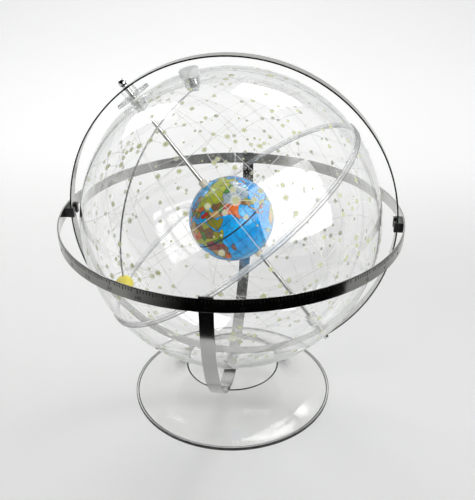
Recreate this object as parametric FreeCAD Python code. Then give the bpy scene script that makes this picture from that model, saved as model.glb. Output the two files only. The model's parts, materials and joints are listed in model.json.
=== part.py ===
import FreeCAD, Part
import math
import os

# Transparent celestial globe with an Earth inside, on a steel cradle and a clear base.
# Millimetres, +Z up, origin at the centre of the base's underside.
# The meridian hoop stands in the XZ plane and the cradle band in the YZ plane.
# Pieces on a turning axis are built up +Z, where a height is a distance from the
# sphere's centre, and are then turned to point along that axis.

# Driving dimensions

sphere_radius = 152.4           # outside of the clear star sphere, 12 inch diameter
sphere_wall = 2.0
rest_latitude = 53.0            # height of the north celestial pole above the horizon, degrees
obliquity = 23.44               # angle between the celestial and ecliptic poles, degrees
ecliptic_pole_turn = -8.0       # turn of the ecliptic pole about the polar axis at rest, degrees
sun_arm_turn = 226.0            # turn of the Sun arm about the ecliptic pole at rest, degrees

strip_thickness = 1.5           # all three steel bands
band_width = 12.8               # meridian hoop and cradle
edge_rounding = 0.3
horizon_inner = 172.5
horizon_low = -4.45             # lower edge of the horizon band, from the sphere's centre
horizon_height = 12.9
meridian_outer = 167.7
cradle_gap = 0.2                # between the cradle's flat ends and the round horizon band
cradle_drop = 5.0               # centre of the cradle's half circle below the sphere's centre
cradle_tail = 9.7               # top of the cradle's ends above the sphere's centre

base_top = 33.0
seat_top = 34.0                 # lowest point of the cradle, on the base's saddle
neck_radius = 51.6
base_radius = 110.0
base_wall = 3.0
flange_width = 6.0

axle_radius = 2.0
running_gap = 0.06              # radial clearance of every turning fit
snug_gap = 0.02                 # clearance of every fixed fit

earth_radius = 43.3
earth_wall = 1.6
sun_radius = 8.4
wire_radius = 0.8
arm_start, arm_middle, arm_end = 139.2, 128.0, 134.0    # wire's distance from the centre

# Derived sizes

sphere_inner = sphere_radius - sphere_wall
horizon_outer = horizon_inner + strip_thickness
horizon_top = horizon_low + horizon_height
horizon_middle = (horizon_low + horizon_top) / 2
meridian_inner = meridian_outer - strip_thickness
cradle_outer = horizon_inner - cradle_gap
cradle_inner = cradle_outer - strip_thickness
globe_height = seat_top + cradle_outer + cradle_drop
running_bore = axle_radius + running_gap
snug_bore = axle_radius + snug_gap
reach = 400.0                   # longer than the object, for cutting tools

origin = FreeCAD.Vector(0, 0, 0)
right = FreeCAD.Vector(1, 0, 0)
back = FreeCAD.Vector(0, 1, 0)
up = FreeCAD.Vector(0, 0, 1)
globe_centre = FreeCAD.Vector(0, 0, globe_height)


# Directions of the celestial pole, the ecliptic pole and the Sun

def polar_directions():
    """The north celestial pole, and the direction square to it that leans to the zenith."""
    tilt = math.radians(rest_latitude)
    pole = FreeCAD.Vector(-math.cos(tilt), 0, math.sin(tilt))
    return pole, FreeCAD.Vector(math.sin(tilt), 0, math.cos(tilt))


def ecliptic_directions(pole, zenithward):
    """The ecliptic pole, and the Sun's direction square to it."""
    turn = math.radians(ecliptic_pole_turn)
    lean = math.radians(obliquity)
    sideways = zenithward * math.cos(turn) + back * math.sin(turn)
    ecliptic = pole * math.cos(lean) + sideways * math.sin(lean)
    first = back.cross(ecliptic)
    first.normalize()
    second = ecliptic.cross(first)
    angle = math.radians(sun_arm_turn)
    return ecliptic, first * math.cos(angle) + second * math.sin(angle)


north_pole, zenithward = polar_directions()
ecliptic_pole, sun_direction = ecliptic_directions(north_pole, zenithward)


# Helpers

def save(name, shape):
    """Write one piece, checked to be closed and valid."""
    if not shape.isValid() or not shape.Solids:
        raise ValueError(name + " is not a valid solid")
    print(name, len(shape.Solids), "solids,", round(shape.Volume), "mm3")
    shape.exportStep("parts/" + name + ".step")


def turned(outline):
    """Solid of revolution about +Z from (radius, height) corners."""
    corners = [FreeCAD.Vector(radius, 0, height) for radius, height in outline]
    face = Part.Face(Part.makePolygon(corners + corners[:1]))
    return face.revolve(origin, up, 360)


def rod(radius, low, high):
    """Upright round rod between two heights."""
    return Part.makeCylinder(radius, high - low, FreeCAD.Vector(0, 0, low))


def tube(outer, inner, low, high):
    """Upright round tube between two heights."""
    return rod(outer, low, high).cut(rod(inner, low, high))


def box(low, high):
    """Box between two opposite corners."""
    size = [b - a for a, b in zip(low, high)]
    return Part.makeBox(*size, FreeCAD.Vector(*low))


def around(count, radius, tool):
    """Copies of an upright tool spread evenly round a circle about +Z."""
    copies = []
    for step in range(count):
        angle = 2 * math.pi * step / count
        place = FreeCAD.Vector(radius * math.cos(angle), radius * math.sin(angle), 0)
        copies.append(tool.translated(place))
    return Part.makeCompound(copies)


def round_hoop_edges(shape):
    """Soften the four circular edges of a plain hoop."""
    circles = [edge for edge in shape.Edges if isinstance(edge.Curve, Part.Circle)]
    return shape.makeFillet(edge_rounding, circles)


def aim(shape, direction):
    """Move a piece built up +Z from the sphere's centre onto an axis through that centre."""
    turn = FreeCAD.Rotation(up, direction)
    moved = shape.copy()
    moved.Placement = FreeCAD.Placement(globe_centre, turn)
    return moved


def lift(shape):
    """Raise a piece built level around the sphere's centre."""
    return shape.translated(globe_centre)


def mirrored_along_z(shape):
    """The same piece at the opposite end of its axis."""
    return shape.mirror(origin, up)


# Base: clear shell with a moulded saddle, and the screw that holds the cradle on it

screw_radius = 2.5              # M5
screw_hole = 2.7
saddle_half_width = 8.2
saddle_half_length = 15.0
saddle_lip = 35.2               # top of the saddle's side walls


def cradle_bar(radius, half_width):
    """Round bar along X whose surface follows one face of the cradle's half circle."""
    start = FreeCAD.Vector(-half_width, 0, globe_height - cradle_drop)
    return Part.makeCylinder(radius, 2 * half_width, start, right)


def make_base_shell():
    """Top plate, concave flare and flat flange, all one wall thick."""
    flare_end = base_radius - flange_width
    run = flare_end - neck_radius
    drop = base_top - base_wall
    flare_radius = (run * run + drop * drop) / (2 * drop)
    centre_height = base_wall + flare_radius

    def flare(radius, top):
        """Three points of a flare arc, from the height `top` down to the flange."""
        start = math.asin((centre_height - top) / radius) - math.pi
        angles = (start, (start - math.pi / 2) / 2, -math.pi / 2)
        return [FreeCAD.Vector(flare_end + radius * math.cos(angle), 0,
                               centre_height + radius * math.sin(angle)) for angle in angles]

    underside = base_top - base_wall
    outer = flare(flare_radius, base_top)
    inner = flare(flare_radius + base_wall, underside)
    flange_top = FreeCAD.Vector(base_radius, 0, base_wall)
    flange_foot = FreeCAD.Vector(base_radius, 0, 0)
    plate_top = FreeCAD.Vector(0, 0, base_top)
    plate_under = FreeCAD.Vector(0, 0, underside)
    edges = [
        Part.makeLine(plate_top, outer[0]),
        Part.Arc(*outer).toShape(),
        Part.makeLine(outer[2], flange_top),
        Part.makeLine(flange_top, flange_foot),
        Part.makeLine(flange_foot, inner[2]),
        Part.Arc(*inner).toShape(),
        Part.makeLine(inner[0], plate_under),
        Part.makeLine(plate_under, plate_top),
    ]
    shell = Part.Face(Part.Wire(edges)).revolve(origin, up, 360)
    sunk = base_top - base_wall / 2
    saddle = box((-saddle_half_width, -saddle_half_length, sunk),
                 (saddle_half_width, saddle_half_length, saddle_lip))
    channel = cradle_bar(cradle_outer + snug_gap, band_width / 2 + 0.15)
    shell = shell.fuse(saddle.cut(channel))
    return shell.cut(rod(screw_hole, 0, globe_height)).removeSplitter()


def make_base_screw():
    """M5 pan head screw with a cross recess, down through the cradle and the saddle."""
    seat = seat_top + strip_thickness + 0.08
    shank = rod(screw_radius, seat - 14, seat)
    head = turned([(0, seat), (4.7, seat), (4.7, seat + 1.6), (4.1, seat + 2.4),
                   (2.6, seat + 2.9), (0, seat + 3.0)])
    screw = shank.fuse(head)
    for half_x, half_y in ((2.2, 0.45), (0.45, 2.2)):
        screw = screw.cut(box((-half_x, -half_y, seat + 1.4), (half_x, half_y, seat + 4)))
    return screw.removeSplitter()


def make_base_washer():
    under = base_top - base_wall - snug_gap
    return tube(6.0, screw_hole, under - 1.0, under)


def make_base_nut():
    """M5 hexagon nut, 8 mm across flats."""
    top = base_top - base_wall - 1.0 - 2 * snug_gap
    corner = 4.0 / math.cos(math.pi / 6)
    points = [FreeCAD.Vector(corner * math.cos(math.radians(60 * side)),
                             corner * math.sin(math.radians(60 * side)), top - 4.0)
              for side in range(6)]
    prism = Part.Face(Part.makePolygon(points + points[:1])).extrude(up * 4.0)
    return prism.cut(rod(screw_radius + snug_gap, top - 4.0, top))


# Steel bands of the stand

def make_cradle_band():
    """Half circle of strip with short straight ends, welded inside the horizon band."""
    half = band_width / 2
    ring = cradle_bar(cradle_outer, half).cut(cradle_bar(cradle_inner, half))
    bend_height = globe_height - cradle_drop
    lower = box((-half, -reach, -reach), (half, reach, bend_height))
    band = ring.common(lower)
    for low, high in ((cradle_inner, cradle_outer), (-cradle_outer, -cradle_inner)):
        tail = box((-half, low, bend_height), (half, high, globe_height + cradle_tail))
        band = band.fuse(tail)
    band = band.removeSplitter()
    return band.cut(rod(screw_hole, 0, globe_height / 2))


def make_horizon_ring():
    """Horizon band with the countersunk holes of the guide rivets."""
    hoop = round_hoop_edges(tube(horizon_outer, horizon_inner, horizon_low, horizon_top))
    return lift(hoop.cut(guide_rivet_group(snug_gap)))


# Guides on the horizon band, where the meridian hoop slides

guide_low, guide_high = -3.0, 7.0
guide_half_width = 8.6
guide_tip = 163.5               # inner end of the side cheeks
lip_outer = 165.2
lip_gap = 3.5                   # half the opening between the lips
slot_half_width = 6.6
slot_end = 170.2                # face that the friction pad is glued to
pad_face = 168.0
rivet_radius = 1.3
rivet_head = 2.3
rivet_side = 5.2                # rivets each side of the guide's middle


def guide_rivet_group(growth):
    """Both guides' flush rivets, or with growth the holes for them."""
    rivets = []
    for side in (1, -1):
        for offset in (rivet_side, -rivet_side):
            place = FreeCAD.Vector(side * (slot_end + snug_gap), offset, horizon_middle)
            out = right * side
            length = horizon_outer + 1 - slot_end
            shank = Part.makeCylinder(rivet_radius + growth, length, place, out)
            head_foot = FreeCAD.Vector(side * (horizon_outer - 1.1), offset, horizon_middle)
            head = Part.makeCone(rivet_radius + growth, rivet_head + growth, 1.0, head_foot, out)
            flush = rod(horizon_outer + growth, -reach, reach)
            rivets.append(shank.fuse(head).common(flush).removeSplitter())
    return Part.makeCompound(rivets)


def make_guide(side):
    """Moulded channel with two lips that keep the hoop in."""
    block = box((guide_tip, -guide_half_width, guide_low),
                (horizon_outer, guide_half_width, guide_high))
    block = block.common(rod(horizon_inner - snug_gap, -reach, reach))
    corners = [edge for edge in block.Edges
               if edge.Length > guide_high - guide_low - 0.1
               and abs(edge.CenterOfMass.x - guide_tip) < 0.1
               and abs(edge.CenterOfMass.y) > guide_half_width - 0.1]
    block = block.makeFillet(0.8, corners)
    block = block.cut(box((lip_outer, -slot_half_width, -reach),
                          (slot_end, slot_half_width, reach)))
    block = block.cut(box((0, -lip_gap, -reach), (lip_outer, lip_gap, reach)))
    if side < 0:
        block = block.rotated(origin, up, 180)
    block = block.cut(guide_rivet_group(snug_gap))
    return lift(block)


def make_friction_pad(side):
    """Felt pad glued to the back of the slot, which steadies the hoop."""
    half_width = slot_half_width - 0.2
    pad = box((pad_face, -half_width, guide_low + 0.5),
              (slot_end, half_width, guide_high - 0.5))
    if side < 0:
        pad = pad.rotated(origin, up, 180)
    return lift(pad)


# Meridian hoop with the fixed spacers, and the hour dial that turns on one of them

dial_radius = 18.5
dial_low, dial_high = 155.0, 158.1
dial_neck = 4.0
spacer_top = 166.0
spacer_radius, south_spacer_radius = 7.4, 4.5
shell_bush_top = 153.9


def make_meridian_ring():
    """Hoop in the XZ plane, with a pivot hole at each celestial pole."""
    half = band_width / 2
    hoop = round_hoop_edges(tube(meridian_outer, meridian_inner, -half, half))
    hoop = lift(hoop.rotated(origin, right, 90))
    pivot = aim(rod(running_bore, -reach, reach), north_pole)
    return hoop.cut(pivot)


def make_north_spacer():
    """Clear hub between the hoop and the sphere, with a neck for the hour dial."""
    hub = turned([
        (running_bore, shell_bush_top + 0.5), (dial_neck, shell_bush_top + 0.5),
        (dial_neck, dial_high + 0.1), (spacer_radius, dial_high + 0.1),
        (spacer_radius, spacer_top), (running_bore, spacer_top),
    ])
    return aim(hub, north_pole)


def make_south_spacer():
    sleeve = tube(south_spacer_radius, running_bore, shell_bush_top + 0.2, spacer_top)
    return aim(mirrored_along_z(sleeve), north_pole)


def make_hour_dial():
    """Clear disc with a notch in its rim for each hour."""
    bevel = 0.6
    bore = dial_neck + running_gap
    disc = turned([
        (bore, dial_low), (dial_radius - bevel, dial_low), (dial_radius, dial_low + bevel),
        (dial_radius, dial_high - bevel), (dial_radius - bevel, dial_high), (bore, dial_high),
    ])
    notches = around(24, dial_radius + 0.15, rod(0.45, dial_low, dial_high))
    return aim(disc.cut(notches), north_pole)


# Star sphere: two clear halves, their joint band, and the bushes in its holes

half_joint = 0.42               # each half stops this far short of the equator
shell_bush_radius = 3.95
ecliptic_bush_radius = 3.0


def half_shell(outer, inner, joint):
    """Upper half of a hollow ball, cut off at the height `joint`."""
    ball = Part.makeSphere(outer).cut(Part.makeSphere(inner))
    return ball.common(box((-reach, -reach, joint), (reach, reach, reach)))


def make_north_hemisphere():
    shell = half_shell(sphere_radius, sphere_inner, half_joint)
    shell = aim(shell.cut(rod(shell_bush_radius + snug_gap, 0, reach)), north_pole)
    return shell.cut(aim(rod(ecliptic_bush_radius + snug_gap, 0, reach), ecliptic_pole))


def make_south_hemisphere():
    shell = half_shell(sphere_radius, sphere_inner, half_joint)
    shell = shell.cut(rod(shell_bush_radius + snug_gap, 0, reach))
    return aim(mirrored_along_z(shell), north_pole)


def make_equator_band():
    """Clear T-shaped band: a web between the two halves and a cover over their joint."""
    web = half_joint - snug_gap
    seat = sphere_radius + 0.05
    outer, half, bevel = 154.2, 2.8, 0.3
    upper = [(outer, half - bevel), (outer - bevel, half), (seat, half), (seat, web),
             (sphere_inner, web)]
    lower = [(radius, -height) for radius, height in reversed(upper)]
    return aim(turned(upper + lower), north_pole)


def make_pole_bush():
    """Flanged bush through the shell at a pole."""
    flange_foot = sphere_radius + 0.1
    return turned([
        (running_bore, 140.2), (shell_bush_radius, 140.2), (shell_bush_radius, flange_foot),
        (6.0, flange_foot), (6.0, shell_bush_top), (running_bore, shell_bush_top),
    ])


def make_pole_sleeve():
    """Clear sleeve that clamps the bush from inside the shell."""
    return tube(6.5, shell_bush_radius + snug_gap, 141.0, sphere_inner - 0.2)


def make_ecliptic_bush():
    flange_foot = sphere_radius + 0.05
    bush = turned([
        (running_bore, 149.9), (ecliptic_bush_radius, 149.9),
        (ecliptic_bush_radius, flange_foot), (4.6, flange_foot),
        (4.6, 153.2), (running_bore, 153.2),
    ])
    return aim(bush, ecliptic_pole)


# Earth on the polar axle

axle_end = 172.5
washer_low, washer_high = 167.78, 168.28
collar_low, collar_high = 43.4, 50.0
collar_radius = 4.2


def make_polar_axle():
    return aim(rod(axle_radius, -axle_end, axle_end), north_pole)


def make_axle_knob():
    """Polished ball that turns the Earth, on a short neck."""
    foot = washer_high + 0.05
    middle = 172.3
    ball = Part.makeSphere(4.3, FreeCAD.Vector(0, 0, middle)).common(rod(reach, foot, reach))
    knob = ball.fuse(rod(2.9, foot, middle)).removeSplitter()
    knob = knob.cut(rod(snug_bore, foot, axle_end + snug_gap))
    return aim(knob, north_pole)


def make_axle_cap():
    """Domed cap on the axle's south end."""
    foot = washer_high + 0.05
    cap = turned([(0, foot), (3.4, foot), (3.4, foot + 3.6), (2.7, foot + 5.2),
                  (1.4, foot + 6.1), (0, foot + 6.3)])
    cap = cap.cut(rod(snug_bore, foot, axle_end + snug_gap))
    return aim(mirrored_along_z(cap), north_pole)


def make_axle_washer():
    return tube(3.3, running_bore, washer_low, washer_high)


def make_earth_halves():
    """Two hollow halves; a tongue on the north half sits inside the south half."""
    inner = earth_radius - earth_wall
    step = inner + earth_wall / 2
    bore = rod(snug_bore, -reach, reach)
    north = half_shell(earth_radius, inner, 0)
    north = north.fuse(tube(step - snug_gap, inner + 0.05, -2.0, 0.3)).removeSplitter()
    south = mirrored_along_z(half_shell(earth_radius, inner, snug_gap))
    south = south.cut(rod(step + snug_gap, -2.05, 1))
    return aim(north.cut(bore), north_pole), aim(south.cut(bore), north_pole)


def grub_screw(growth):
    """Radial grub screw of a collar, or with growth the hole for it."""
    place = FreeCAD.Vector(axle_radius + 0.05 - growth, 0, (collar_low + collar_high) / 2)
    screw = Part.makeCylinder(1.25 + growth, collar_radius - axle_radius, place, right)
    if growth:
        return screw
    slot = box((collar_radius - 0.6, -0.2, 0), (collar_radius + 1, 0.2, reach))
    return screw.cut(slot).common(rod(collar_radius, 0, reach))


def make_earth_collar():
    """Brass collar that locks the Earth on the axle."""
    collar = turned([
        (snug_bore, collar_low), (collar_radius, collar_low),
        (collar_radius, collar_high - 0.6), (collar_radius - 0.6, collar_high),
        (snug_bore, collar_high),
    ])
    return collar.cut(grub_screw(snug_gap))


def make_collar_screws():
    screw = grub_screw(0)
    return aim(Part.makeCompound([screw, mirrored_along_z(screw)]), north_pole)


# Sun arm on the ecliptic pole

spindle_low, spindle_high = 141.2, 159.0
hub_radius = 7.7
hub_high = 149.4
hub_dome = 145.0                # height of the dome's centre


def make_ecliptic_knob():
    """Translucent grip outside the sphere, with fine flutes round its side."""
    low, high, radius = 153.5, 160.4, 9.6
    knob = turned([
        (0, spindle_high + snug_gap), (snug_bore, spindle_high + snug_gap),
        (snug_bore, low), (radius - 0.4, low), (radius, low + 0.4),
        (radius, high - 1.4), (radius - 0.9, high - 0.4), (radius - 2.6, high), (0, high),
    ])
    flutes = around(24, radius + 0.2, rod(0.55, low, high))
    return aim(knob.cut(flutes), ecliptic_pole)


def make_ecliptic_spindle():
    return aim(rod(axle_radius, spindle_low, spindle_high), ecliptic_pole)


def arm_path():
    """Centre line of the Sun arm, from the ecliptic pole to the Sun."""
    middle = ecliptic_pole + sun_direction
    middle.normalize()
    points = [ecliptic_pole * arm_start, middle * arm_middle, sun_direction * arm_end]
    return [globe_centre + point for point in points]


def arm_wire(radius):
    """Round wire along the Sun arm's centre line."""
    path = Part.Arc(*arm_path()).toShape()
    start = path.valueAt(path.FirstParameter)
    tangent = path.tangentAt(path.FirstParameter)
    ring = Part.Wire(Part.makeCircle(radius, start, tangent))
    return Part.Wire(path).makePipeShell([ring], True, False)


def make_ecliptic_hub():
    """Chromed dome on the inner end of the spindle, which holds the wire."""
    dome = Part.makeSphere(hub_radius, FreeCAD.Vector(0, 0, hub_dome))
    dome = dome.common(rod(hub_radius, 0, hub_dome))
    hub = dome.fuse(rod(hub_radius, hub_dome, hub_high)).removeSplitter()
    hub = hub.cut(rod(snug_bore, spindle_low - snug_gap, reach))
    return aim(hub, ecliptic_pole).cut(arm_wire(wire_radius + snug_gap))


def make_sun_ball():
    ball = Part.makeSphere(sun_radius, arm_path()[2])
    return ball.cut(arm_wire(wire_radius + snug_gap))


os.makedirs("parts", exist_ok=True)

save("base_shell", make_base_shell())
save("base_screw", make_base_screw())
save("base_washer", make_base_washer())
save("base_nut", make_base_nut())
save("cradle_band", make_cradle_band())
save("horizon_ring", make_horizon_ring())
for name, side in (("left", -1), ("right", 1)):
    save(name + "_guide", make_guide(side))
    save(name + "_friction_pad", make_friction_pad(side))
save("guide_rivets", lift(guide_rivet_group(0)))

save("meridian_ring", make_meridian_ring())
save("north_spacer", make_north_spacer())
save("south_spacer", make_south_spacer())
save("hour_dial", make_hour_dial())

save("north_hemisphere", make_north_hemisphere())
save("south_hemisphere", make_south_hemisphere())
save("equator_band", make_equator_band())
save("ecliptic_bush", make_ecliptic_bush())

save("polar_axle", make_polar_axle())
save("axle_knob", make_axle_knob())
save("axle_cap", make_axle_cap())
earth_north, earth_south = make_earth_halves()
save("earth_north_half", earth_north)
save("earth_south_half", earth_south)
save("collar_screws", make_collar_screws())

# One of these at each end of the polar axis
for name, piece in (("bush", make_pole_bush()), ("sleeve", make_pole_sleeve()),
                    ("washer", make_axle_washer()), ("earth_collar", make_earth_collar())):
    save("north_" + name, aim(piece, north_pole))
    save("south_" + name, aim(mirrored_along_z(piece), north_pole))

save("ecliptic_knob", make_ecliptic_knob())
save("ecliptic_spindle", make_ecliptic_spindle())
save("ecliptic_hub", make_ecliptic_hub())
save("sun_arm_wire", arm_wire(wire_radius))
save("sun_ball", make_sun_ball())
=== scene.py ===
import json
import math
import random

import bpy
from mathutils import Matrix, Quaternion, Vector
from mathutils.geometry import delaunay_2d_cdt


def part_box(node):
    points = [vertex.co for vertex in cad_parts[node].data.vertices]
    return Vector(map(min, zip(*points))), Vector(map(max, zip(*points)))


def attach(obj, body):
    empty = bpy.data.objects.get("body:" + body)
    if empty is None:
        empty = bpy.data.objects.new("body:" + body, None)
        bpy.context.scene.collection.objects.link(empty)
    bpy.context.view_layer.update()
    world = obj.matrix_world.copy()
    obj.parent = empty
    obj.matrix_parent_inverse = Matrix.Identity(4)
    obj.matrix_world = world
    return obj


# A clear celestial globe on a clear base: steel horizon and meridian rings, a small Earth inside,
# a sun on a wire arm, and the star map printed on the outside of the sphere.
# Lengths are in metres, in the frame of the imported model.

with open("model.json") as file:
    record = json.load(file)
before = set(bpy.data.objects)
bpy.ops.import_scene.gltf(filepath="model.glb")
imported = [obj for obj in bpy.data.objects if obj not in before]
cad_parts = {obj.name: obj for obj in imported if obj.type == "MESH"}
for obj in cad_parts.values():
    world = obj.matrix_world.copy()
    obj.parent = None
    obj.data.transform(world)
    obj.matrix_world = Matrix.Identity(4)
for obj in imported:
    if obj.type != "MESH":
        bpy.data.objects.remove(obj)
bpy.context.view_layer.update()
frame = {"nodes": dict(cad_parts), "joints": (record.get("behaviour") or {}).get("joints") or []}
nodes = frame["nodes"]
joints = {joint["name"]: joint for joint in frame["joints"]}

MM = 0.001
CENTRE = Vector(joints["latitude_tilt"]["pos_m"])
NORTH = Vector(joints["celestial_spin"]["axis"]).normalized()
ECLIPTIC_NORTH = Vector(joints["sun_arm_turn"]["axis"]).normalized()
EQUINOX = NORTH.cross(ECLIPTIC_NORTH).normalized()
SOLSTICE = NORTH.cross(EQUINOX)
ECLIPTIC_SIDE = ECLIPTIC_NORTH.cross(EQUINOX)
random.seed(7)


def radius_of(node, pick=max):
    """The largest distance, or with min the smallest, of a CAD node's points from the centre."""
    return pick((vertex.co - CENTRE).length for vertex in nodes[node].data.vertices)


def half_width(node):
    low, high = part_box(node)
    return (high.x - low.x) / 2


SKY_RADIUS = radius_of("north_hemisphere")
EARTH_RADIUS = radius_of("earth_north_half")
HORIZON_LOW, HORIZON_HIGH = (corner.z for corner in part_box("horizon_ring"))
HORIZON_RADIUS = half_width("horizon_ring")
MERIDIAN_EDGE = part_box("meridian_ring")[1].y
BASE_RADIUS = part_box("base_shell")[1].x
BASE_FLANGE = 3 * MM
MERIDIAN_RADIUS = radius_of("meridian_ring", min)
MERIDIAN_OUTER = half_width("meridian_ring")
CRADLE_INNER = HORIZON_RADIUS - 3 * MM


# ---- node graphs

class Graph:
    """A material's or world's node tree, with one call per node."""

    def __init__(self, owner):
        owner.use_nodes = True
        self.tree = owner.node_tree
        self.tree.nodes.clear()

    def add(self, kind, output=0, inputs=None, **settings):
        node = self.tree.nodes.new("ShaderNode" + kind)
        for name, value in settings.items():
            setattr(node, name, value)
        for name, value in (inputs or {}).items():
            socket = node.inputs[name]
            if isinstance(value, bpy.types.NodeSocket):
                self.tree.links.new(value, socket)
            elif isinstance(value, tuple) and socket.type == "RGBA":
                socket.default_value = (*value, 1.0)
            else:
                socket.default_value = value
        return node.outputs[output] if node.outputs else node

    def math(self, operation, first, second=0.0):
        return self.add("Math", inputs={0: first, 1: second}, operation=operation)

    def reach(self, first, second):
        """How far a point is from an axis, from its two coordinates across that axis."""
        flat = self.add("CombineXYZ", inputs={0: first, 1: second})
        return self.add("VectorMath", "Value", {0: flat}, operation="LENGTH")

    def gap(self, first, second):
        return self.math("ABSOLUTE", self.math("SUBTRACT", first, second))

    def along(self, axis, vector):
        return self.add("VectorMath", "Value", {0: vector, 1: tuple(axis)}, operation="DOT_PRODUCT")

    def mix(self, factor, first, second):
        return self.add("Mix", 2, {0: factor, 6: first, 7: second}, data_type="RGBA")

    def ramp(self, value, low, high, start=0.0, end=1.0):
        """Start to end as value goes from low to high, smoothly and without going past them."""
        inputs = {0: value, 1: low, 2: high, 3: start, 4: end}
        return self.add("MapRange", inputs=inputs, interpolation_type="SMOOTHSTEP")

    def noise(self, vector, scale, detail=4.0, rough=0.55):
        inputs = {"Vector": vector, "Scale": scale, "Detail": detail, "Roughness": rough}
        return self.add("TexNoise", inputs=inputs)

    def place(self):
        return self.add("TexCoord", "Object")

    def from_centre(self):
        return self.add("VectorMath", inputs={0: self.place(), 1: tuple(CENTRE)}, operation="SUBTRACT")

    def split(self, vector):
        node = self.tree.nodes.new("ShaderNodeSeparateXYZ")
        self.tree.links.new(vector, node.inputs[0])
        return node.outputs

    def stretched(self, vector, factors):
        return self.add("VectorMath", inputs={0: vector, 1: factors}, operation="MULTIPLY")

    def bump(self, height, depth, strength=1.0, below=None):
        inputs = {"Height": height, "Distance": depth, "Strength": strength}
        if below:
            inputs["Normal"] = below
        return self.add("Bump", inputs=inputs)

    def ray(self, what):
        return self.add("LightPath", what)

    def unreflected(self, extra=0.0):
        """1 on a view ray that has only passed through clear things, 0 once anything has reflected it.

        The world counts as one bounce more than a surface, which extra allows for.
        """
        straight = self.math("MAXIMUM", self.ray("Is Camera Ray"), self.ray("Is Transmission Ray"))
        mirrored = self.math("SUBTRACT", self.ray("Ray Depth"), self.ray("Transmission Depth"))
        return self.math("MULTIPLY", straight, self.math("LESS_THAN", mirrored, extra + 0.5))

    def blend(self, factor, first, second):
        return self.add("MixShader", inputs={0: factor, 1: first, 2: second})

    def principled(self, **inputs):
        return self.add("BsdfPrincipled", inputs={k.replace("_", " "): v for k, v in inputs.items()})


def recipe(build):
    """Turns build(g, ...), which returns a shader, into a function that makes the material of a name."""
    def make(name, *args, **kwargs):
        material = bpy.data.materials.new(name)
        g = Graph(material)
        g.add("OutputMaterial", inputs={"Surface": build(g, *args, **kwargs)})
        return material
    return make


def finger_marks(g, low, high):
    """Roughness that wanders between two values, as handled surfaces do."""
    cloud = g.noise(g.place(), 38.0, 5.0)
    return g.ramp(cloud, 0.35, 0.7, low, high)


# ---- materials

def base_rim(g):
    """Where painted shade goes: 1 on the edges of the base's rim and on a ring inside them."""
    parts = g.split(g.place())
    radius = g.reach(parts[0], parts[1])
    outer = g.ramp(radius, BASE_RADIUS - 0.9 * MM, BASE_RADIUS - 0.3 * MM)
    top = g.ramp(g.gap(parts[2], BASE_FLANGE), 0.3 * MM, 0.9 * MM, 1.0, 0.0)
    inner = g.ramp(g.gap(radius, BASE_RADIUS - 2.5 * MM), 0.3 * MM, 0.75 * MM, 0.8, 0.0)
    foot = g.ramp(parts[2], 0.2 * MM, 0.9 * MM, 0.6, 0.0)
    return g.math("MAXIMUM", g.math("MULTIPLY", outer, g.math("MAXIMUM", top, foot)), inner)


def seam_edges(g):
    """Part way to 1 along the south edge of the joint band, which catches the dark of the room."""
    return g.ramp(g.along(NORTH, g.from_centre()), -2.6 * MM, -2.1 * MM, 0.7, 0.0)


def base_flow(g):
    """Faint ridges that run out from the neck, left by forming the flare."""
    parts = g.split(g.place())
    angle = g.math("ARCTAN2", parts[0], parts[1])
    ridges = g.noise(g.add("CombineXYZ", inputs={0: angle, 2: g.math("MULTIPLY", parts[2], 8.0)}), 30.0, 3.0)
    return g.bump(ridges, 0.0004, 0.3)


@recipe
def clear_plastic(g, tint, edge_tint_and_shade, haze, plain=0.0, rim=None, flow=None, wave=1.0):
    """Acrylic: it bends what is behind it, lets light and shadow through, and holds dust and hairlines.

    haze is the share of dust, plain the share that doesn't bend the view, and wave how uneven it is.
    """
    hairlines = g.noise(g.stretched(g.place(), (900.0, 60.0, 420.0)), 1.0, 2.0)
    swell = g.noise(g.place(), 9.0, 1.0)
    below = flow(g) if flow else None
    normal = g.bump(swell, 0.0003, 0.12 * wave, g.bump(hairlines, 0.00002, 0.06 * wave, below))
    facing = g.add("LayerWeight", "Facing", {"Blend": 0.5})
    # Darker towards the outline, where the view crosses the wall at a slant: partly the longer path through
    # the plastic, partly painted shade.
    colour = g.mix(g.ramp(facing, 0.45, 1.0), tint, edge_tint_and_shade)
    if rim:
        # Painted shade along the edges that the rim mask marks.
        colour = g.mix(rim(g), colour, PAINTED_RIM_SHADE)
    gloss = finger_marks(g, 0.0, 0.03 * wave)
    glass = g.add("BsdfGlass", inputs={"Color": colour, "Roughness": gloss, "IOR": 1.49, "Normal": normal})
    unseen = g.math("MAXIMUM", g.ray("Is Shadow Ray"), g.ray("Is Diffuse Ray"))
    see_through = g.add("BsdfTransparent", inputs={"Color": g.mix(unseen, colour, tint)})
    body = g.blend(g.math("MAXIMUM", unseen, plain), glass, see_through)
    dust = g.add("BsdfDiffuse", inputs={"Color": (0.93, 0.93, 0.91)})
    specks = g.ramp(g.noise(g.place(), 260.0, 3.0), 0.52, 0.8, haze, min(4.0 * haze, haze + 0.1))
    return g.blend(specks, body, dust)


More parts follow.
